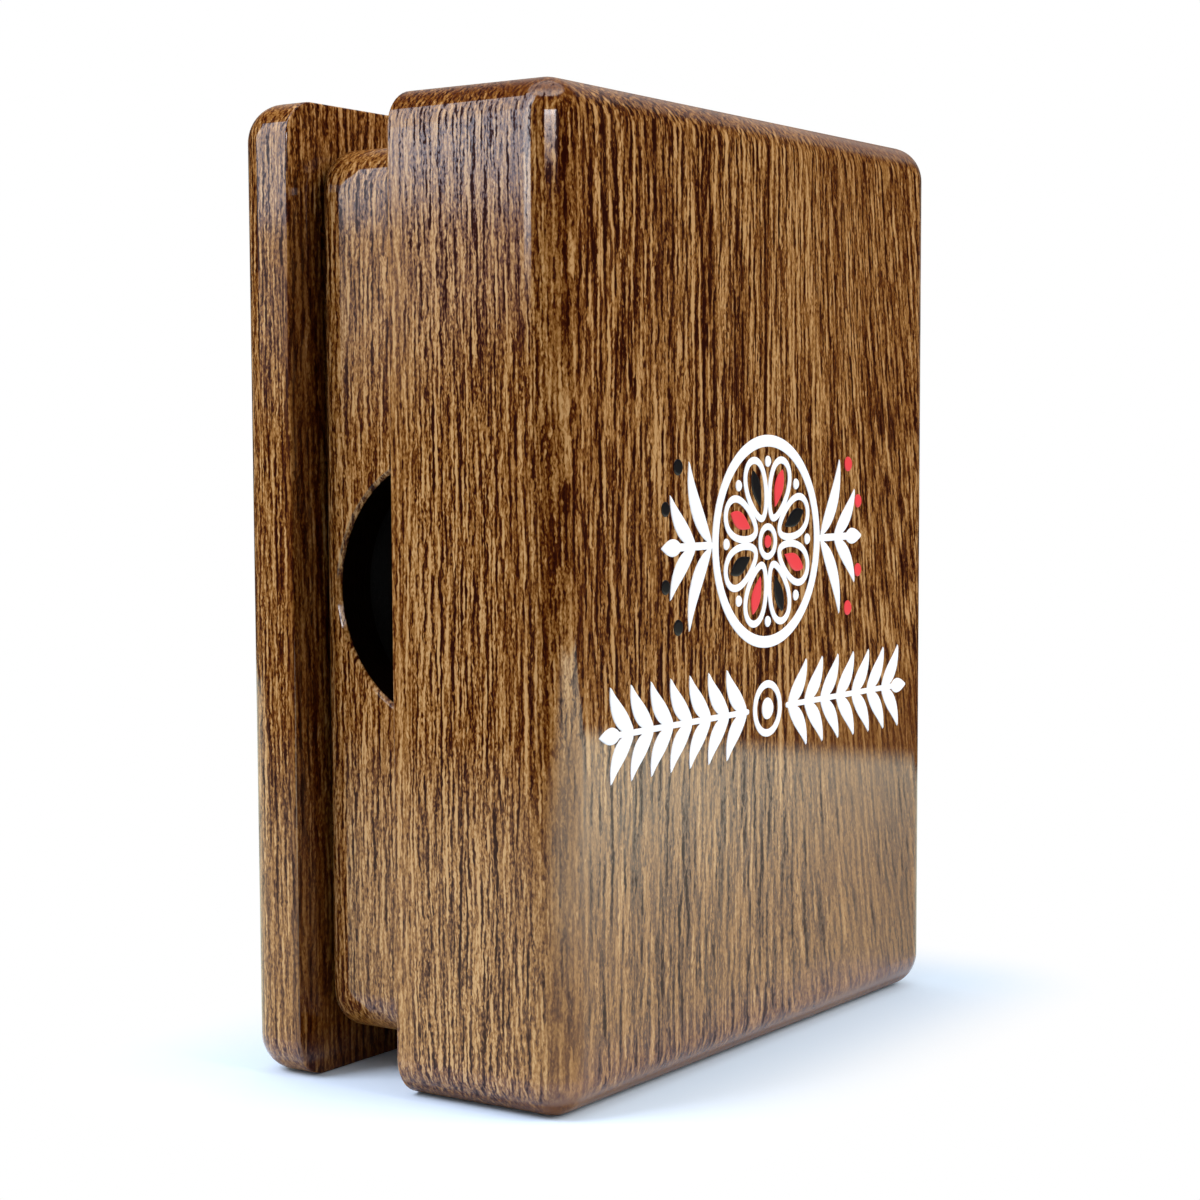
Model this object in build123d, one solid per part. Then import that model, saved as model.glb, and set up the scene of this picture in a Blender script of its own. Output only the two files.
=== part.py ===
"""Wooden playing card case: a tray glued to a back plate, and a hollowed lid that slides over the tray.

Millimetres, +Z up. The case stands on end, the lid's face looks along -Y, and +X is to the right of someone
who faces it. The origin lies on the ground under the middle of the case, which is drawn open by open_gap, as
it stands at rest. Each wooden piece is cut from one board, with its grain along Z.
"""

from build123d import *

import os

# The deck that the tray holds
card_width = 63.5
card_height = 88.9
card_play = 2.0
deck_room = 15.6

# Tray
side_wall = 5.4
end_wall = 4.4
tray_floor = 1.4
well_corner = 3.2
tray_corner = 5.0
heel_round = 2.6
mouth_round = 1.0
mouth_ease = 0.5

# Felt on the floor of the tray's well
felt_thickness = 0.8
felt_gap = 0.3

# Finger notches, half circles in the tray's long walls
notch_radius = 14.8
notch_raise = 1.0
notch_ease = 0.4

# Lid
fit_gap = 0.25
lid_side_wall = 4.2
lid_end_wall = 4.8
lid_face = 4.0
closed_gap = 0.4
lead_in = 0.5

# Back plate
plate_thickness = 8.0

# Rounding that lid and plate share
round_over = 4.2
corner_spare = 0.2
rim_ease = 0.3

# How far the lid stands off the plate at rest
open_gap = 14.0

# Sizes that follow from those above
well_width = card_width + card_play
well_height = card_height + card_play
tray_width = well_width + 2 * side_wall
tray_height = well_height + 2 * end_wall
tray_rise = tray_floor + felt_thickness + deck_room
cavity_width = tray_width + 2 * fit_gap
cavity_height = tray_height + 2 * fit_gap
cavity_depth = tray_rise + closed_gap
cavity_corner = tray_corner + fit_gap
case_width = cavity_width + 2 * lid_side_wall
case_height = cavity_height + 2 * lid_end_wall
case_corner = round_over + corner_spare
lid_thickness = cavity_depth + lid_face

# Where each face stands along Y, and the height of the case's middle
case_depth = lid_thickness + open_gap + plate_thickness
lid_front = -case_depth / 2
lid_ceiling = lid_front + lid_face
lid_rim = lid_front + lid_thickness
plate_face = lid_rim + open_gap
plate_back = plate_face + plate_thickness
tray_mouth = plate_face - tray_rise
well_bottom = plate_face - tray_floor
felt_top = well_bottom - felt_thickness
mid_height = case_height / 2


def board(width, height, corner, y_front, y_back):
    """An upright board with rounded corners, centred on the case's middle, between two planes along Y."""
    outline_plane = Plane(origin=(0, y_back, mid_height), x_dir=(1, 0, 0), z_dir=(0, -1, 0))
    return extrude(outline_plane * RectangleRounded(width, height, corner), amount=y_back - y_front)


def edges_at(shape, y):
    """The edges of a shape that lie wholly in the plane at this Y."""
    return shape.edges().filter_by_position(Axis.Y, y - 0.001, y + 0.001)


def make_back_plate():
    """Flat board: its outer edges are rounded over, and the face that meets the lid is only eased."""
    plate = board(case_width, case_height, case_corner, plate_face, plate_back)
    plate = fillet(edges_at(plate, plate_back), round_over)
    return fillet(edges_at(plate, plate_face), rim_ease)


def notch_cutter():
    """Round bar across the tray at its mouth, flared where it leaves each long wall, so that the rims are eased."""
    across = Plane(origin=(0, tray_mouth, mid_height + notch_raise), x_dir=(0, 1, 0), z_dir=(1, 0, 0))
    cutter = Cylinder(notch_radius, tray_width + 2 * notch_ease)
    for side in (-1, 1):
        flare = Cone(notch_radius, notch_radius + notch_ease, notch_ease)
        turned = Rotation(0, 0 if side > 0 else 180, 0) * flare
        cutter += Pos(0, 0, side * (tray_width - notch_ease) / 2) * turned
    return across * cutter


def make_tray():
    """Block with a pocket for the deck, rounded all round, with a half-round finger notch in each long wall."""
    tray = board(tray_width, tray_height, tray_corner, tray_mouth, plate_face)
    tray = fillet(edges_at(tray, plate_face), heel_round)
    tray = fillet(edges_at(tray, tray_mouth), mouth_round)
    outer_mouth = edges_at(tray, tray_mouth)
    tray -= board(well_width, well_height, well_corner, tray_mouth, well_bottom)
    well_mouth = edges_at(tray, tray_mouth).filter_by(lambda edge: edge not in outer_mouth)
    tray = chamfer(well_mouth, mouth_ease)
    return tray - notch_cutter()


def make_felt():
    """Thin felt pad that covers the floor of the well, a little clear of its walls."""
    return board(well_width - 2 * felt_gap, well_height - 2 * felt_gap, well_corner - felt_gap, felt_top, well_bottom)


def make_lid():
    """Board rounded over in front, hollowed from behind to take the tray, with a lead-in at the cavity's mouth."""
    lid = board(case_width, case_height, case_corner, lid_front, lid_rim)
    lid = fillet(edges_at(lid, lid_front), round_over)
    lid = fillet(edges_at(lid, lid_rim), rim_ease)
    outer_rim = edges_at(lid, lid_rim)
    lid -= board(cavity_width, cavity_height, cavity_corner, lid_ceiling, lid_rim)
    cavity_mouth = edges_at(lid, lid_rim).filter_by(lambda edge: edge not in outer_rim)
    return chamfer(cavity_mouth, lead_in)


os.makedirs("parts", exist_ok=True)
pieces = {
    "back_plate": make_back_plate(),
    "inner_tray": make_tray(),
    "tray_lining": make_felt(),
    "lid": make_lid(),
}
for name, piece in pieces.items():
    export_step(piece, f"parts/{name}.step")
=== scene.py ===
"""Playing card case of stained, lacquered oak, drawn half open: a lid in front of a tray on its back plate.

Metres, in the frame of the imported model. The case stands on end on a white table and its face looks along -Y.
"""
import math

import bpy
import bmesh
import numpy as np
from mathutils import Matrix, Vector


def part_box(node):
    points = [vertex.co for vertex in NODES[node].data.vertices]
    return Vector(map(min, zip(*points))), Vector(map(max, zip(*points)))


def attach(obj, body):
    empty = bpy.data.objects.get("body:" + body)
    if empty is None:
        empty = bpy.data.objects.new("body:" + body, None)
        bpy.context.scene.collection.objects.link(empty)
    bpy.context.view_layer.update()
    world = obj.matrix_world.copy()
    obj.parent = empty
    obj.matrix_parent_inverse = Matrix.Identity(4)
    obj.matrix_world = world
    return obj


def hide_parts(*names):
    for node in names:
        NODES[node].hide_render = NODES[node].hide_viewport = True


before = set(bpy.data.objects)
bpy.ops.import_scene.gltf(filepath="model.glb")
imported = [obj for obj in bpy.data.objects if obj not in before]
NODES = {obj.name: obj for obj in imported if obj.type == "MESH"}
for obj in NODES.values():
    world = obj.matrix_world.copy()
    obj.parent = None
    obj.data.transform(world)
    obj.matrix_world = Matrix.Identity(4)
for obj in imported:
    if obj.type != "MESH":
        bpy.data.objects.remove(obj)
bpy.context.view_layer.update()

MM = 0.001

# the lid's box, its face and its middle, in millimetres
LID_LOW, LID_HIGH = (Vector(corner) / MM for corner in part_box("lid"))
FACE_Y = LID_LOW.y
FACE_MIDDLE_X = (LID_LOW.x + LID_HIGH.x) / 2
MIDDLE_HEIGHT = (LID_LOW.z + LID_HIGH.z) / 2

# half the height of the lid and the plate, and of the tray, in millimetres
CASE_HALF_HEIGHT = 54.9
TRAY_HALF_HEIGHT = 49.9


# Shader nodes

class Wire:
    """One output of a shader node. Arithmetic written with it adds Math nodes to its tree."""

    def __init__(self, tree, output=None):
        self.tree = tree
        self.output = output

    def node(self, kind, settings, inputs, output=0):
        """Adds a node, makes its settings, fills or links its inputs, and gives one of its outputs."""
        made = self.tree.nodes.new(kind)
        for name, value in settings.items():
            if name == "stops":
                fill_ramp(made.color_ramp, value)
            else:
                setattr(made, name, value)
        for key, value in inputs.items():
            if isinstance(value, Wire):
                self.tree.links.new(value.output, made.inputs[key])
            else:
                made.inputs[key].default_value = value
        return Wire(self.tree, made.outputs[output] if made.outputs else None)

    def beside(self, output):
        """Another output of the same node."""
        return Wire(self.tree, self.output.node.outputs[output])

    def math(self, operation, *values):
        """A Math node on the values."""
        return self.node("ShaderNodeMath", {"operation": operation}, dict(enumerate(values)))

    def __add__(self, other):
        return self.math("ADD", self, other)

    def __sub__(self, other):
        return self.math("SUBTRACT", self, other)

    def __rsub__(self, other):
        return self.math("SUBTRACT", other, self)

    def __mul__(self, other):
        return self.math("MULTIPLY", self, other)

    def __truediv__(self, other):
        return self.math("DIVIDE", self, other)

    def __abs__(self):
        return self.math("ABSOLUTE", self)

    __radd__ = __add__
    __rmul__ = __mul__


def fill_ramp(band, stops):
    """Gives a colour band its stops, each a place from 0 to 1 with a grey level or a colour."""
    while len(band.elements) > 1:
        band.elements.remove(band.elements[-1])
    for i, (place, shade) in enumerate(stops):
        element = band.elements[0] if i == 0 else band.elements.new(place)
        element.position = place
        element.color = (*shade, 1.0) if isinstance(shade, tuple) else (shade, shade, shade, 1.0)


def new_material(name):
    """An empty material and a wire to start its nodes from."""
    material = bpy.data.materials.new(name)
    material.use_nodes = True
    material.node_tree.nodes.clear()
    return material, Wire(material.node_tree)


def finish_surface(start, shader):
    """Makes the shader the material's surface."""
    start.node("ShaderNodeOutputMaterial", {}, {"Surface": shader})


def vector(wire, operation, *values):
    """A Vector Math node on the wire and the other values."""
    return wire.node("ShaderNodeVectorMath", {"operation": operation}, dict(enumerate((wire, *values))))


def axes(place):
    """The X, Y and Z of a place."""
    x = place.node("ShaderNodeSeparateXYZ", {}, {0: place})
    return x, x.beside("Y"), x.beside("Z")


def place_in_mm(start):
    """Object coordinates in millimetres."""
    return vector(start.node("ShaderNodeTexCoord", {}, {}, 3), "MULTIPLY", (1 / MM,) * 3)


def noise(place, scale, detail, roughness=0.5, output=0):
    """Noise of about one lump per unit, after the place is multiplied by scale, a number for each axis."""
    scaled = vector(place, "MULTIPLY", scale)
    return place.node("ShaderNodeTexNoise", {}, {
        "Vector": scaled, "Scale": 1.0, "Detail": detail, "Roughness": roughness}, output)


def soft_step(wire, low, high):
    """0 below low and 1 above high, smooth between them. Low may be the greater."""
    return wire.node("ShaderNodeMapRange", {"interpolation_type": "SMOOTHSTEP"},
                     {"Value": wire, "From Min": low, "From Max": high})


def larger(wire, other):
    return wire.math("MAXIMUM", wire, other)


def smaller(wire, other):
    return wire.math("MINIMUM", wire, other)


def ramp(wire, stops):
    """The colour at the wire's value between the stops, each a place from 0 to 1 with its shade."""
    return wire.node("ShaderNodeValToRGB", {"stops": stops}, {0: wire})


def tint(factor, below, above):
    """The colour below, moved to the colour above by the factor."""
    return factor.node("ShaderNodeMix", {"data_type": "RGBA"}, {0: factor, 6: below, 7: above}, 2)


# Wood

# colours of the stained oak from its darkest pores, at 0, to its plainest fibres, at 1
TONES = [
    (0.06, (0.0190, 0.0020, 0.0001)),
    (0.21, (0.0450, 0.0072, 0.0004)),
    (0.33, (0.0870, 0.0200, 0.0014)),
    (0.42, (0.1380, 0.0414, 0.0051)),
    (0.50, (0.1880, 0.0702, 0.0132)),
    (0.58, (0.2500, 0.1033, 0.0220)),
    (0.67, (0.3150, 0.1414, 0.0370)),
    (0.78, (0.3900, 0.1930, 0.0634)),
    (0.91, (0.5100, 0.2828, 0.1100)),
]
GREY_STAIN = (0.055, 0.024, 0.010, 1.0)
# painted shade: the near black of the pocket and the notch cuts, which stand in shadow
POCKET_SHADE = (0.0030, 0.0010, 0.0004, 1.0)


def lumps(at, across, along, detail=1.0, output=0):
    """Noise with lumps about as wide as across and as long as along, in mm."""
    return noise(at, (1 / across, 1 / across, 1 / along), detail, output=output)


def log_place(start, shift, drift):
    """Object coordinates in mm, shifted to the board's place in the log, then bent across the grain: slowly,
    in step with the drift, then as single fibres wander, and last to give their edges a ragged line."""
    at = vector(start.node("ShaderNodeTexCoord", {}, {}, 3), "MULTIPLY_ADD", (1 / MM,) * 3, shift)
    slow, quick, ragged = lumps(at, 30, 75, 0.0, 1), lumps(at, 3, 9, 1.0, 1), lumps(at, 0.4, 0.9, 0.0, 1)
    for bend, amount in ((slow, drift), (quick, 0.32), (ragged, 0.28)):
        bend = vector(bend, "SUBTRACT", (0.5, 0.5, 0.5))
        at = vector(bend, "MULTIPLY_ADD", (amount, amount, 0.0), at)
    return at


def thin_lines(at, across, along, width, ragged):
    """Lines that run with the grain where noise drawn out along it crosses its middle value, about a third of
    a lump's width apart."""
    field = noise(at, (1 / across, 1.5 / across, 1 / along), 0.0) - 0.5
    return soft_step(abs(field) + ragged, width * 1.5, width * 0.5)


def ring_lines(at, spacing, ragged):
    """Lines of large pores where each growth ring starts. The rings cross the board aslant, so that they show
    at about the spacing, in mm, on the faces across Y and across X."""
    wander = lumps(at, 6, 45) * 2.4
    x, y, _ = axes(at)
    rings = x / spacing[0] + y / spacing[1] + wander
    wave = rings.math("PINGPONG", rings, 0.5) * 2.0
    return soft_step(wave + ragged, 0.34, 0.14)


def streaks(at, across, deep, along):
    """Streaks about as wide as across on the faces across Y and as deep on those across X, and as long as
    along, in mm. Four noises a little apart are taken from each other in turn, which leaves no slow change of
    tone."""
    place = vector(at, "MULTIPLY", (1 / across, 1 / deep, 1 / along))
    near, far = (noise(vector(place, "ADD", (0.0, y, 0.0)), (1.0,) * 3, 0.0)
                 - noise(vector(place, "ADD", (0.7, y, 0.0)), (1.0,) * 3, 0.0) for y in (0.0, 0.7))
    return near - far


def stained_oak(at, contrast, shade, flecked=0.0, clustered=0.0, patchy=0.28, fine=0.0):
    """Colour, open pores and fibres of one board of dark stained oak, about the place in the log.

    Contrast and shade spread and lift the tone. Flecked is 0 for long lines and 1 for short dashes, clustered
    is 1 where the dashes gather in small clouds, patchy is how far broad patches differ, and fine is 1 where
    single fibres show more than bands of them. Each is a number or a wire.
    """
    grit = lumps(at, 0.20, 0.50) - 0.5
    fibres = streaks(at, 0.42, 0.30, 7.0)
    flecks = streaks(at, 0.62, 0.45, 3.0)
    bands = streaks(at, 1.1, 0.8, 14.0)
    uneven = (lumps(at, 3.5, 30) - 0.5) * patchy
    clusters = (lumps(at, 2.2, 5) - 0.5) * clustered

    thick = lumps(at, 0.8, 6.0, 0.0) * 0.22
    rings = ring_lines(at, (1.30, 0.95), grit * 0.5 + flecks * 1.8 + 0.02)
    long_lines = thin_lines(at, 1.4, 26.0, 0.03, grit * 0.12 - thick + 0.105)
    dashes = thin_lines(vector(at, "ADD", (40.0, 9.0, 0.0)), 1.2, 5.0, 0.035, grit * 0.12 - thick + 0.095)
    lines = larger(rings, long_lines * (1.0 - flecked * 0.6))
    lines = larger(lines, dashes * (0.4 + flecked * 0.5))

    long = 1.0 - flecked * 0.3
    field = uneven + clusters * 1.5
    field = field + fibres * (long * 0.52 + fine * 0.17) + bands * (long * 0.66 - fine * 0.24)
    field = field + flecks * (0.42 + flecked * 0.12) + grit * (0.85 + fine * 0.25) - lines * 0.30 - 0.01
    tone = field * contrast + shade
    dark = soft_step(tone, 0.46, 0.30) * soft_step(tone, 0.10, 0.20)
    greyed = dark * soft_step(lumps(at, 5, 30), 0.50, 0.62) * 0.2
    return tint(greyed, ramp(tone, TONES), GREY_STAIN), soft_step(tone, 0.34, 0.12), fibres


def lacquered(start, colour, open_grain, fibres, bare, deep=0.0):
    """Gloss lacquer over the wood: it sinks a little into the pores, further where deep is 1, and is gone
    where bare is 1."""
    height = (fibres * 0.25 - open_grain * 0.8) * (1.0 + deep)
    normal = start.node("ShaderNodeBump", {}, {"Strength": 0.35, "Distance": 0.05 * MM, "Height": height})
    coat = (1.0 - open_grain * (0.6 + deep * 0.35)) * (1.0 - bare)
    finish_surface(start, start.node("ShaderNodeBsdfPrincipled", {}, {
        "Base Color": colour, "Roughness": 0.3, "IOR": 1.5, "Specular IOR Level": 0.03, "Normal": normal,
        "Coat Weight": coat, "Coat Roughness": 0.04, "Coat IOR": 1.6}))


def near_ends(height, half, start, full):
    """0 up to start mm short of a board's upper and lower ends, 1 from full mm short of them. Half is half of
    the board's height."""
    return soft_step(abs(height - MIDDLE_HEIGHT), half - start, half - full)


def end_grain(height, half):
    """1 where the ends of a board turn over and show their end grain."""
    return near_ends(height, half, 3.8, 1.2)


def thin_lacquer(height, half):
    """The share of the lacquer that the end grain has drunk up."""
    return near_ends(height, half, 2.2, 1.5) * 0.7


def lid_wood():
    """The lid's board: dark and straight on the left, a golden band above the middle, slanting flecks on the
    right. It is plainer low on the face, finer on its left side, darker in a patch low on the right, and dark
    and plain at its ends. Along the rim it is paler and plainer, a painted sheen, and it is lighter towards the
    rear, painted light from behind."""
    material, start = new_material("lid_wood")
    x, y, height = axes(place_in_mm(start))
    left = soft_step(x, -12.0, -20.0) * soft_step(height, 40.0, 55.0)
    outer = soft_step(x, -26.0, -32.0)
    middle = soft_step(x, -22.0, -12.0)
    golden = soft_step(x, -9.0, -1.0) * soft_step(x, 17.0, 9.0) * soft_step(height, 60.0, 88.0)
    right = soft_step(x, -4.0, 30.0)
    # darker in a patch low on the right
    darker_low_right = soft_step(x, 22.0, 33.0) * soft_step(height, 46.0, 38.0)
    top = soft_step(height, 99.0, 106.0) * soft_step(x, -20.0, -10.0)
    front = soft_step(y, -18.0, -21.0)
    low = soft_step(height, 48.0, 34.0) * front
    side = soft_step(x, -37.5, -41.0)
    corner = soft_step(x, -35.0, -39.0) * soft_step(y, -12.0, -17.0)
    # painted light: lighter towards the rear, as light falls on the side from behind
    lit_rear = soft_step(y, -17.0, -3.0)
    end = end_grain(height, CASE_HALF_HEIGHT)
    # painted sheen: paler and plainer along the rim, where the lacquer catches the light
    rim_sheen = soft_step(y, -5.0, -1.0) * (1.0 - end)
    slant = x.node("ShaderNodeCombineXYZ", {}, {0: right * (height - 50.0) * 0.17})
    at = vector(log_place(start, (13.0, 5.0, 0.0), 2.5), "ADD", slant)
    contrast = 1.0 - right * 0.22 - golden * 0.05 - low * 0.40 - rim_sheen * 0.35 - end * 0.55 - corner * 0.22
    shade = 0.61 + golden * 0.09 - left * 0.03 + outer * 0.025 - low * 0.055 - darker_low_right * 0.07
    shade = shade + lit_rear * 0.035 + rim_sheen * 0.03 - top * (0.07 - right * 0.02) - end * (0.11 + side * 0.11)
    clustered = right * soft_step(height, 86.0, 74.0) * soft_step(height, 36.0, 46.0)
    patchy = (0.22 + front * (0.5 + middle * 0.5)) * (1.0 - right * 0.7) * (1.0 - corner * 0.8)
    oak = stained_oak(at, contrast, shade, right, clustered, patchy, side)
    lacquered(start, *oak, thin_lacquer(height, CASE_HALF_HEIGHT), side * soft_step(height, 35.0, 85.0))
    return material


def tray_wood():
    """The tray's block. Its pocket and the cut of its finger notches are painted almost black, painted shade
    where they stand in shadow, and little of the lacquer stays on that cut. Its heel by the plate is darker,
    painted shade of the crevice there."""
    material, start = new_material("tray_wood")
    x, y, height = axes(place_in_mm(start))
    aside, off = abs(x), abs(height - MIDDLE_HEIGHT)
    # painted shade: inside is the pocket and the cut of the notches, painted near black
    inside = soft_step(aside, 37.9, 37.5) * soft_step(y, -3.6, -3.0) * soft_step(off, 47.0, 46.0)
    cut = soft_step(aside, 38.13, 37.95) * soft_step(y, -2.6, -2.2) * soft_step(off, 22.0, 20.0)
    end = end_grain(height, TRAY_HALF_HEIGHT)
    # painted shade: darker at the heel, in the crevice by the plate
    heel_shade = soft_step(y, 8.5, 13.0)
    foot = soft_step(height, 34.0, 14.0)
    at = log_place(start, (161.0, -47.0, 230.0), 2.0)
    contrast = 0.85 - end * 0.4 - foot * 0.12
    shade = 0.65 - end * 0.06 - heel_shade * 0.06
    colour, open_grain, fibres = stained_oak(at, contrast, shade, fine=1.0)
    bare = larger(cut * 0.8, thin_lacquer(height, TRAY_HALF_HEIGHT))
    lacquered(start, tint(inside, colour, POCKET_SHADE), open_grain, fibres, bare)
    return material


def plate_wood():
    """The back plate's board. The face that meets the lid is darker and plainer below its top: painted shade,
    where the tray and the lid shade it.
    """
    material, start = new_material("plate_wood")
    _, y, height = axes(place_in_mm(start))
    # painted shade on the face that meets the lid, in the shadow between the tray and the lid; its top stays
    # lit
    inner = soft_step(y, 15.6, 14.4)
    foot = soft_step(height, 34.0, 14.0)
    end = end_grain(height, CASE_HALF_HEIGHT) * (1.0 - inner)
    inner = inner * soft_step(height, 104.0, 92.0)
    at = log_place(start, (-240.0, 110.0, 510.0), 2.0)
    contrast = 0.82 - end * 0.4 - inner * 0.22 - foot * 0.15
    shade = 0.60 - end * 0.05 - inner * 0.15
    oak = stained_oak(at, contrast, shade, fine=1.0 - inner)
    lacquered(start, *oak, thin_lacquer(height, CASE_HALF_HEIGHT))
    return material


def dress(node, material):
    """Gives the CAD node's object the material in all its slots."""
    data = NODES[node].data
    if not data.materials:
        data.materials.append(material)
    for i in range(len(data.materials)):
        data.materials[i] = material


# Surfaces through grids of points

def mesh_object(name, grids):
    """One mesh of several grids of points in metres, each with whether it closes across and along. Points of
    a pole or seam that meet become one point, and all faces look outward."""
    corners, faces, first = [], [], 0
    for points, close_across, close_along in grids:
        rows, columns = points.shape[:2]
        index = first + np.arange(rows * columns).reshape(rows, columns)
        first += rows * columns
        if close_along:
            index = np.vstack([index, index[:1]])
        if close_across:
            index = np.hstack([index, index[:, :1]])
        square = np.stack([index[:-1, :-1], index[:-1, 1:], index[1:, 1:], index[1:, :-1]], axis=-1)
        corners.append(points.reshape(-1, 3))
        faces.append(square.reshape(-1, 4))
    mesh = bpy.data.meshes.new(name)
    mesh.from_pydata(np.vstack(corners).tolist(), [], np.vstack(faces).tolist())
    work = bmesh.new()
    work.from_mesh(mesh)
    bmesh.ops.remove_doubles(work, verts=work.verts, dist=1e-7)
    bmesh.ops.recalc_face_normals(work, faces=work.faces)
    work.to_mesh(mesh)
    work.free()
    made = bpy.data.objects.new(name, mesh)
    bpy.context.scene.collection.objects.link(made)
    return made


def smooth(thing, angle):
    """Shades the object smooth, with edges sharper than the angle, in degrees, left crisp."""
    thing.data.shade_smooth()
    thing.data.set_sharp_from_angle(angle=math.radians(angle))


# Felt pad on the floor of the tray

# in millimetres: the pad's corners, the roundness of its edge, and how uneven its open side is
FELT_CORNER = 2.9
FELT_EDGE = 0.35
FELT_HOLLOWS = 0.04


def rounded_outline(half_width, half_height, corner):
    """Points round a rectangle with round corners, about its middle: each corner is a quarter turn about the
    corner's own centre, and the straight sides are split evenly between them."""
    quarter = np.linspace(0, np.pi / 2, 12)
    arc = corner * np.stack([np.cos(quarter), np.sin(quarter)], axis=-1)
    sides = []
    for i, (sx, sz) in enumerate([(1, 1), (-1, 1), (-1, -1), (1, -1)]):
        turn = i * np.pi / 2
        spin = np.array([[np.cos(turn), np.sin(turn)], [-np.sin(turn), np.cos(turn)]])
        centre = np.array([sx * (half_width - corner), sz * (half_height - corner)])
        sides.append(arc @ spin + centre)
    split = np.linspace(0, 1, 14)[1:-1, None]
    pieces = []
    for i, side in enumerate(sides):
        after = sides[(i + 1) % 4][0]
        pieces += [side, side[-1] + (after - side[-1]) * split]
    return np.vstack(pieces)


def felt():
    """Black wool felt: short fibres that lie in all directions."""
    material, start = new_material("felt")
    at = place_in_mm(start)
    bent = vector(noise(at, (1.1, 1.1, 1.1), 2.0, 0.6, 1), "MULTIPLY_ADD", (2.0, 2.0, 2.0), at)
    hairs = noise(bent, (2.0, 2.0, 9.0), 2.0, 0.6)
    cross = noise(bent, (9.0, 2.0, 2.0), 2.0, 0.6)
    nap = larger(hairs, cross)
    colour = ramp(nap, [(0.35, (0.0012, 0.0012, 0.0014)), (0.75, (0.0080, 0.0078, 0.0080))])
    normal = start.node("ShaderNodeBump", {}, {"Strength": 0.6, "Distance": 0.12 * MM, "Height": nap})
    finish_surface(start, start.node("ShaderNodeBsdfPrincipled", {}, {
        "Base Color": colour, "Roughness": 0.95, "Normal": normal, "Specular IOR Level": 0.15,
        "Sheen Weight": 0.12, "Sheen Roughness": 0.5}))
    return material


def add_felt_pad():
    """The felt as a closed pad. Rings of its outline run from the middle of its back over a soft rounded edge
    to the middle of its open side. That side is a little uneven, by the product of a wave along the pad and a
    wave across it, which meanders."""
    low, high = (np.array(corner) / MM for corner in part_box("tray_lining"))
    middle, half = (low + high) / 2, (high - low) / 2
    outline = rounded_outline(half[0], half[2], FELT_CORNER)
    away = np.linalg.norm(outline, axis=1, keepdims=True)
    turn = np.linspace(0, np.pi / 2, 6)[:, None, None]
    edge = outline * (1 - FELT_EDGE * (1 - np.cos(turn)) / away)
    shrink = np.linspace(0, 1, 27)[:, None, None]
    back, top = outline * shrink, edge[-1] * shrink[-2::-1]
    rings = np.concatenate([back, edge, top])
    across, along = top[..., 0], top[..., 1]
    hollows = 0.5 + 0.5 * np.sin(0.9 * across + 1.3 * np.sin(0.23 * along)) * np.cos(0.71 * along)
    levels = np.concatenate([
        np.full(back.shape[:2], high[1]),
        low[1] + FELT_EDGE * (1 - np.sin(turn[..., 0])) * np.ones(len(outline)),
        low[1] + FELT_HOLLOWS * hollows])
    points = np.stack([rings[..., 0] + middle[0], levels, rings[..., 1] + middle[2]], axis=-1) * MM
    pad = mesh_object("felt_pad", [(points, True, False)])
    smooth(pad, 40.0)
    pad.data.materials.append(felt())
    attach(pad, "base")
    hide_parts("tray_lining")
    width, height = 2 * half[0] * MM, 2 * half[2] * MM
    width * height - (4 - math.pi) * (FELT_CORNER * MM) ** 2


# Painted ornament on the face: a rosette in a ring between two sprays, over a garland

# in millimetres: how far the paint's sides go into the wood, and how far each stroke stands proud of it
PAINT_SUNK = 0.03
LINE_PROUD = 0.09
LEAF_PROUD = 0.10
PETAL_PROUD = 0.08

# middles of the rosette and the garland, x and height in millimetres
ROSETTE = (FACE_MIDDLE_X + 0.1, 60.3)
GARLAND = (FACE_MIDDLE_X + 0.1, 40.6)
PAINTS = {
    "white": (0.93, 0.93, 0.94, 1.0),
    "red": (0.80, 0.048, 0.055, 1.0),
    "black": (0.006, 0.005, 0.006, 1.0),
}


def tapered(path, widths, proud, closed=False):
    """Points of a raised line of paint along a path on the face, x and height in mm. Its section is a flat
    dome whose width follows the widths, and whose sides go a little under the surface of the wood."""
    ahead = np.roll(path, -1, 0) - np.roll(path, 1, 0) if closed else np.gradient(path, axis=0)
    side = np.stack([-ahead[:, 1], ahead[:, 0]], axis=-1)
    side /= np.linalg.norm(side, axis=1, keepdims=True)
    across = np.array([-1.0, -0.98, -0.9, -0.6, 0.0, 0.6, 0.9, 0.98, 1.0, 0.5, -0.5])
    rise = np.array([0.0, 0.65, 0.93, 1.0, 1.0, 1.0, 0.93, 0.65, 0.0, 0.0, 0.0])
    half = np.asarray(widths)[:, None] / 2
    flat = path[:, None] + side[:, None] * (half * across)[..., None]
    swell = np.ones(len(path)) if closed else np.minimum(1.0, np.asarray(widths) / 0.25)
    depth = FACE_Y + PAINT_SUNK - (PAINT_SUNK + proud) * swell[:, None] * rise
    points = np.stack([flat[..., 0], depth, flat[..., 1]], axis=-1) * MM
    return points, True, closed


def blunt(path, width):
    """A line of even width with round ends: near an end the width is the chord of a circle as wide as the
    line."""
    step = np.linalg.norm(np.diff(path, axis=0), axis=1)
    along = np.concatenate([[0.0], np.cumsum(step)])
    near = np.minimum(np.minimum(along, along[-1] - along), width / 2) / (width / 2)
    return tapered(path, width * np.sqrt(np.clip(1 - (1 - near) ** 2, 0, 1)), LINE_PROUD)


def ends_dense(count):
    """Places from 0 to 1, closer together at both ends."""
    return (1 - np.cos(np.linspace(0, np.pi, count))) / 2


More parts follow.
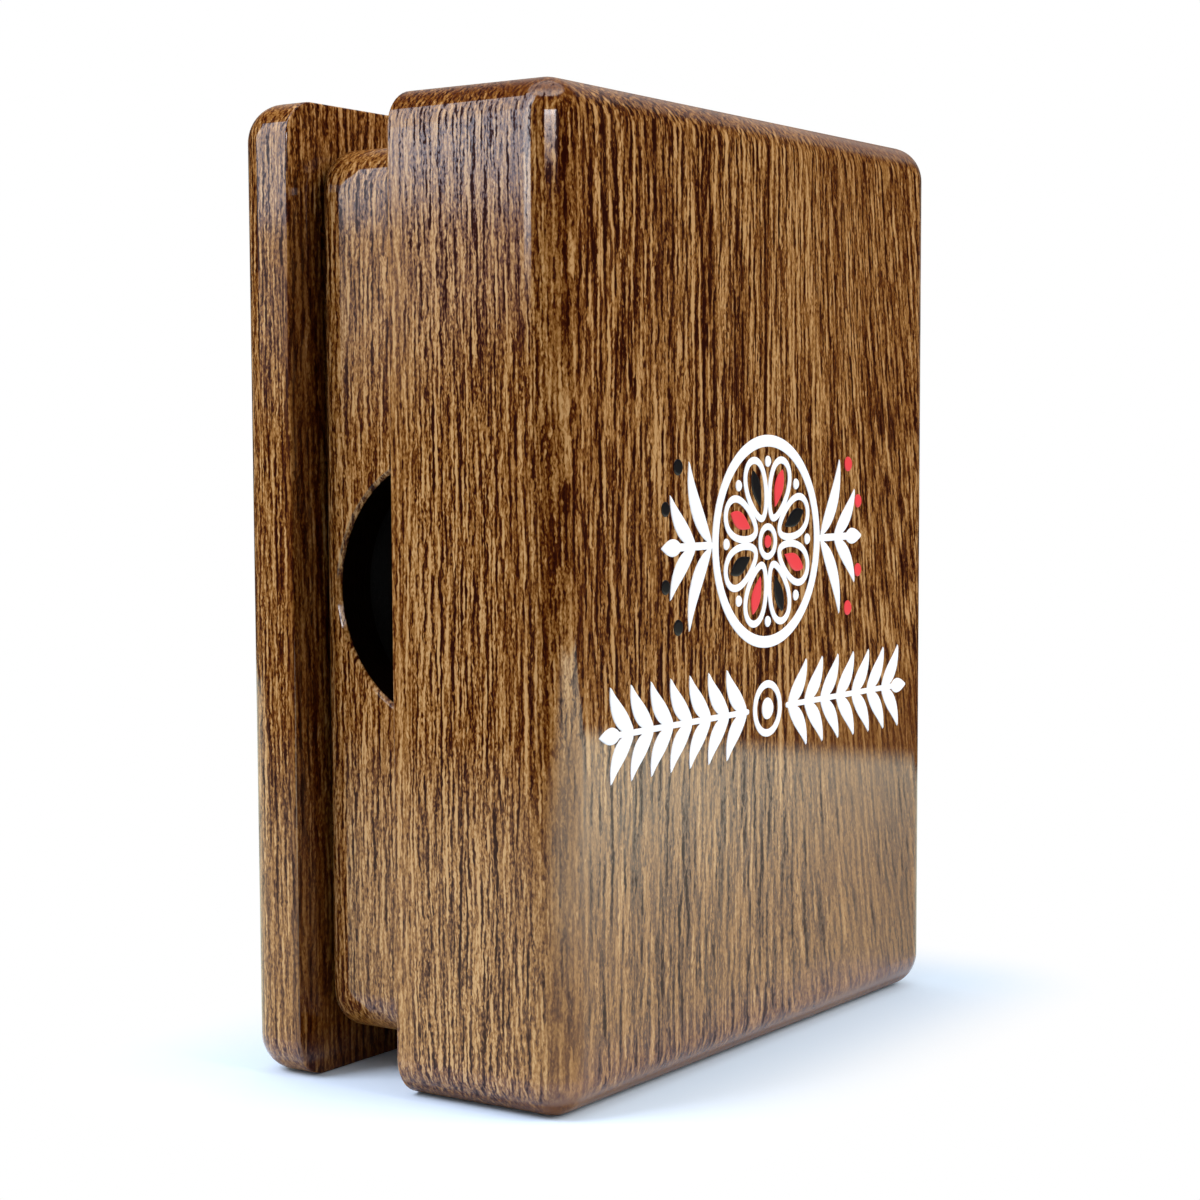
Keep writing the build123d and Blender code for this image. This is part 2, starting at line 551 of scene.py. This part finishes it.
def ring(centre, radius, width):
    """A circle of even width."""
    turn = np.linspace(0, 2 * np.pi, 121)[:-1]
    path = np.array(centre) + radius * np.stack([np.cos(turn), np.sin(turn)], axis=-1)
    return tapered(path, np.full(len(turn), width), LINE_PROUD, closed=True)


def dot(centre, radius):
    """A round spot: along a level path the width is the chord of its circle."""
    place = ends_dense(15)[:, None]
    path = np.array(centre) + np.array([radius, 0.0]) * (2 * place - 1)
    return tapered(path, 2 * radius * np.sqrt(np.clip(1 - (2 * place[:, 0] - 1) ** 2, 0, 1)), LEAF_PROUD)


def leaf(root, tip, width, bend=0.0, fullness=0.42):
    """A pointed leaf from root to tip, bowed sideways by the bend, widest at the fullness of its length."""
    root, tip = np.array(root), np.array(tip)
    t = ends_dense(19)
    ahead = tip - root
    side = np.array([-ahead[1], ahead[0]])
    path = root + ahead * t[:, None] + side * (bend * 4 * t * (1 - t))[:, None]
    power = math.log(0.5) / math.log(fullness)
    return tapered(path, width * np.sin(np.pi * t ** power) ** 0.85, LEAF_PROUD)


def petal(centre, angle, near, far, half_width, width):
    """The outline of a petal that points away from the centre, as an egg shaped loop of even width."""
    t = np.linspace(0, 2 * np.pi, 57)[:-1]
    out = (near + far) / 2 - (far - near) / 2 * np.cos(t)
    aside = half_width * np.sin(t) * (1 - 0.28 * np.cos(t))
    cos, sin = math.cos(math.radians(angle)), math.sin(math.radians(angle))
    path = np.stack([out * cos - aside * sin, out * sin + aside * cos], axis=-1)
    return tapered(np.array(centre) + path, np.full(len(t), width), PETAL_PROUD, closed=True)


def point(centre, angle, away):
    """A point at an angle in degrees and a distance from the centre."""
    return centre[0] + away * math.cos(math.radians(angle)), centre[1] + away * math.sin(math.radians(angle))


def rosette():
    """White, red and black parts of the rosette: eight petals in a ring with a bead between each two, and a
    leaf of black and red by turns in each petal."""
    centre = ROSETTE
    white = [ring(centre, 11.8, 1.4), ring(centre, 1.75, 0.8)]
    red, black = [dot(centre, 0.75)], []
    for i in range(8):
        angle = 22.5 + 45 * i
        white.append(petal(centre, angle, 3.0, 10.15, 2.1, 0.85))
        white.append(dot(point(centre, angle + 22.5, 9.4), 0.66))
        inner = leaf(point(centre, angle, 4.3), point(centre, angle, 9.1), 2.0, fullness=0.56)
        (red if i % 2 else black).append(inner)
    return white, red, black


def spray(side):
    """White leaves and coloured berries of the spray on one side of the rosette: -1 is left, 1 is right."""
    x, z = ROSETTE
    stem = np.stack([x + side * (12.4 + 8.0 * ends_dense(25)), np.full(25, z)], axis=-1)
    leaves, berries = [blunt(stem, 0.9)], []
    for up in (1, -1):
        for root, length, rise, width in ((12.7, 10.4, 63.0, 2.3), (16.2, 7.6, 47.0, 2.2)):
            angle = math.radians(rise)
            start = np.array([x + side * root, z + up * 0.3])
            way = np.array([side * math.cos(angle), up * math.sin(angle)])
            leaves.append(leaf(start, start + length * way, width, bend=-0.10 * up * side))
        for out, rise, radius in ((19.7, 8.9, 0.92), (22.3, 4.3, 0.84)):
            berries.append(dot((x + side * out, z + up * rise), radius))
    leaves.append(leaf((x + side * 19.0, z), (x + side * 23.2, z), 2.0))
    return leaves, berries


def garland():
    """White laurel branches that run left and right from a small round flower to the ends of the band."""
    x, z = GARLAND
    parts = [ring((x, z), 2.9, 0.9), dot((x, z), 1.3)]
    for side in (-1, 1):
        stem = np.stack([x + side * (4.3 + 27.6 * ends_dense(41)), np.full(41, z)], axis=-1)
        parts.append(blunt(stem, 0.7))
        for i in range(7):
            root = 4.9 + 4.0 * i
            for up in (1, -1):
                start = np.array([x + side * root, z + up * 0.3])
                tip = start + np.array([side * 4.4, up * 5.0])
                parts.append(leaf(start, tip, 2.35, bend=-0.12 * up * side))
        parts.append(leaf((x + side * 31.4, z), (x + side * 35.5, z), 1.9))
    return parts


def paint(name, colour):
    """Smooth half gloss paint."""
    material, start = new_material(name)
    finish_surface(start, start.node("ShaderNodeBsdfPrincipled", {}, {
        "Base Color": colour, "Roughness": 0.35, "IOR": 1.4, "Specular IOR Level": 0.35}))
    return material


def add_ornament():
    """All the paint, one piece for each colour. The left spray has black berries and the right one red."""
    white, red, black = rosette()
    for side, coloured in ((-1, black), (1, red)):
        leaves, berries = spray(side)
        white += leaves
        coloured += berries
    grids = {"white": white + garland(), "red": red, "black": black}
    for name, colour in PAINTS.items():
        piece = mesh_object(f"painted_{name}_ornament", grids[name])
        smooth(piece, 60.0)
        piece.data.materials.append(paint(f"{name}_paint", colour))
        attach(piece, "lid")


# Stage: camera, light, table and what the lacquer mirrors

# place in metres, angles in degrees
CAMERA_PLACE = (-0.2505984, -0.1679136, 0.0717653)
CAMERA_AZIMUTH, CAMERA_DIP, CAMERA_ROLL = 55.9174, 4.7734, -0.2356
LENS_MM, SENSOR_MM = 73.917, 36.0
CAMERA_SHIFT_UP = 0.04167

SKY = (0.96, 0.98, 1.0, 1.0)
WHITE = (1.0, 1.0, 1.0, 1.0)
PAPER = (0.74, 0.86, 1.0, 1.0)
SHADED_PAPER = (0.10, 0.10, 0.11, 1.0)
MIRRORED_TABLE = (2.0, 2.14, 1.78)

# in metres: corners of the table, and how far from its middle the case stands on it, along X and Y
TABLE_LOW, TABLE_HIGH = (-0.30, -0.60), (0.275, 0.50)
CASE_REACH = (0.042, 0.022)

# each lamp: name, place, width, power and colour
LAMPS = [
    ("window_light", (-0.75, 0.55, 0.95), 0.6, 12.0, (0.92, 0.98, 1.12)),
    ("front_light", (0.15, -0.95, 0.75), 0.7, 8.0, (1.0, 0.98, 0.95)),
]
LAMP_AIM = (0.0, 0.0, 0.05)

ROOM_RADIUS = 12.0
WALL = (0.016, 0.015, 0.014, 1.0)
FAR_WALL = (0.23, 0.22, 0.20, 1.0)
HIGH_WALL = (0.80, 0.80, 0.80, 1.0)
CEILING = (3.0, 3.0, 3.0, 1.0)
# each window: azimuth and elevation from and to, softness of its edges and its top, in degrees, and its light
WINDOWS = [
    ((-78.0, -30.0), (3.6, 40.0), 1.6, 12.0, (0.55, 0.62, 0.75, 1.0)),
    ((-52.3, -30.0), (2.2, 61.0), 2.0, 8.0, (1.00, 0.96, 0.88, 1.0)),
    ((-78.0, -30.0), (6.2, 61.0), 1.2, 8.0, (2.10, 2.90, 3.80, 1.0)),
    ((-51.1, -30.0), (5.6, 61.0), 0.6, 8.0, (2.10, 2.50, 2.90, 1.0)),
    ((-78.0, -63.0), (5.2, 52.0), 1.5, 8.0, (4.20, 5.00, 5.80, 1.0)),
    ((-156.0, -119.0), (7.6, 21.0), 1.2, 2.4, (9.00, 9.00, 9.50, 1.0)),
]


def add_camera():
    """A camera that looks along azimuth and dip, in degrees, then turned by the roll about its line of
    sight."""
    turn, dip, roll = (math.radians(a) for a in (CAMERA_AZIMUTH, CAMERA_DIP, CAMERA_ROLL))
    sight = Vector((math.sin(turn) * math.cos(dip), math.cos(turn) * math.cos(dip), -math.sin(dip)))
    right = Vector((math.cos(turn), -math.sin(turn), 0.0))
    up = right.cross(sight)
    level = Matrix((right, up, -sight)).transposed()
    data = bpy.data.cameras.new("camera")
    data.lens, data.sensor_width, data.shift_y = LENS_MM, SENSOR_MM, CAMERA_SHIFT_UP
    data.clip_start, data.clip_end = 0.01, 20.0
    camera = bpy.data.objects.new("camera", data)
    camera.matrix_world = Matrix.Translation(CAMERA_PLACE) @ (level @ Matrix.Rotation(roll, 3, "Z")).to_4x4()
    bpy.context.scene.collection.objects.link(camera)
    bpy.context.scene.camera = camera


def add_world():
    """A white surround for the camera and for mirrors, and a soft light on everything else. That light is
    dimmer from the left in front: it falls by the product of how far its direction goes left and forward."""
    world = bpy.data.worlds.new("world")
    bpy.context.scene.world = world
    world.use_nodes = True
    world.node_tree.nodes.clear()
    start = Wire(world.node_tree)
    camera = start.node("ShaderNodeLightPath", {}, {})
    seen = larger(larger(camera, camera.beside("Is Glossy Ray")), camera.beside("Is Transmission Ray"))
    x, y, _ = axes(start.node("ShaderNodeTexCoord", {}, {}, 0))
    strength = 0.98 - smaller(x, 0.0) * smaller(y, 0.0) * 1.7
    sky = start.node("ShaderNodeBackground", {}, {"Color": SKY, "Strength": strength})
    white = start.node("ShaderNodeBackground", {}, {"Color": WHITE, "Strength": 1.0})
    mixed = start.node("ShaderNodeMixShader", {}, {0: seen, 1: sky, 2: white})
    start.node("ShaderNodeOutputWorld", {}, {"Surface": mixed})


def table_white():
    """White table. Right by the case it is paper, which takes the shadows. Further away the camera sees the
    background's white instead, and mirrors a glow that is brighter towards the front, and dimmer on the right
    and far to the left. The paper is dark in front on the left, where only bounced light finds it. Past its
    right end the table is clear."""
    material, start = new_material("table_white")
    at = start.node("ShaderNodeTexCoord", {}, {}, 3)
    x, y, _ = axes(at)
    past = vector(vector(at, "ABSOLUTE"), "SUBTRACT", (*CASE_REACH, 0.0))
    past = vector(past, "MAXIMUM", (0.0, 0.0, 0.0))
    away = past.node("ShaderNodeVectorMath", {"operation": "LENGTH"}, {0: past}, 1)
    camera = start.node("ShaderNodeLightPath", {}, {})
    mirror = camera.beside("Is Glossy Ray")
    shaded = soft_step(x, 0.0, -0.04) * soft_step(y, 0.0, -0.05) * soft_step(away, 0.034, 0.060)
    paper = start.node("ShaderNodeBsdfDiffuse", {}, {"Color": tint(shaded, PAPER, SHADED_PAPER)})
    front = smaller(y, 0.0)
    lit = soft_step(x, -0.34, -0.10) * (1.0 + soft_step(front, -0.045, -0.16) * 1.05)
    lit = lit * (1.0 - soft_step(x + front * 1.4, -0.07, 0.04) * 0.28)
    white = tint(mirror, WHITE, ramp(lit * 0.5, [(0.0, 0.0), (1.0, MIRRORED_TABLE)]))
    glow = start.node("ShaderNodeEmission", {}, {"Color": white, "Strength": 1.0})
    far = soft_step(away, 0.0015, 0.024) * larger(camera, mirror)
    surface = start.node("ShaderNodeMixShader", {}, {0: far, 1: paper, 2: glow})
    clear = start.node("ShaderNodeBsdfTransparent", {}, {})
    there = soft_step(x, 0.272, 0.232)
    finish_surface(start, start.node("ShaderNodeMixShader", {}, {0: there, 1: clear, 2: surface}))
    return material


def add_table():
    """The table's top, a level rectangle under the case."""
    x, y = np.meshgrid(*(np.linspace(low, high, 2) for low, high in zip(TABLE_LOW, TABLE_HIGH)))
    panel = mesh_object("table", [(np.stack([x, y, np.zeros_like(x)], axis=-1), False, False)])
    panel.data.materials.append(table_white())


def room_tone():
    """Dim walls, lighter on the right behind the case, with bright windows under a bright ceiling. Azimuth is
    measured from +Y towards +X, elevation from level."""
    material, start = new_material("room_tone")
    x, y, z = axes(start.node("ShaderNodeTexCoord", {}, {}, 3))
    azimuth = x.math("ARCTAN2", x, y) * (180 / math.pi)
    level = x.math("SQRT", x * x + y * y)
    elevation = z.math("ARCTAN2", z, level) * (180 / math.pi)
    behind = soft_step(azimuth, 10.0, 60.0) * soft_step(azimuth, 110.0, 80.0)
    behind = behind * soft_step(elevation, -2.0, 4.0)
    colour = tint(behind, WALL, FAR_WALL)
    colour = tint(behind * soft_step(elevation, 16.0, 26.0), colour, HIGH_WALL)
    colour = tint(soft_step(elevation, 55.0, 62.0), colour, CEILING)
    for (left, right), (low, high), edge, fade, light in WINDOWS:
        inside = soft_step(azimuth, left - edge, left + edge) * soft_step(azimuth, right + edge, right - edge)
        inside = inside * soft_step(elevation, low - edge, low + edge)
        colour = tint(inside * soft_step(elevation, high, high - fade), colour, light)
    finish_surface(start, start.node("ShaderNodeEmission", {}, {"Color": colour, "Strength": 1.0}))
    material.cycles.emission_sampling = "NONE"
    return material


def add_room():
    """A globe round the table, which only reflections see."""
    around, reach = np.linspace(0, 2 * np.pi, 97)[:-1], np.pi / 2 - 0.01
    turn, lift = np.meshgrid(around, np.linspace(-reach, reach, 49))
    sphere = np.stack([np.cos(turn) * np.cos(lift), np.sin(turn) * np.cos(lift), np.sin(lift)], axis=-1)
    globe = mesh_object("room", [(ROOM_RADIUS * sphere, True, False)])
    globe.data.materials.append(room_tone())
    for ray in ("camera", "diffuse", "transmission", "volume_scatter", "shadow"):
        setattr(globe, f"visible_{ray}", False)


def add_lamp(name, place, size, power, shade):
    """A square soft lamp at a place, turned to the case and unseen by mirrors."""
    data = bpy.data.lights.new(name, "AREA")
    data.size, data.energy, data.color = size, power, shade
    lamp = bpy.data.objects.new(name, data)
    way = Vector(LAMP_AIM) - Vector(place)
    lamp.matrix_world = Matrix.Translation(place) @ way.to_track_quat("-Z", "Y").to_matrix().to_4x4()
    lamp.visible_glossy = False
    bpy.context.scene.collection.objects.link(lamp)


def add_stage():
    add_camera()
    add_world()
    add_table()
    add_room()
    for lamp in LAMPS:
        add_lamp(*lamp)
    bpy.context.scene.view_settings.view_transform = "Standard"


add_stage()
dress("lid", lid_wood())
dress("inner_tray", tray_wood())
dress("back_plate", plate_wood())
add_felt_pad()
add_ornament()
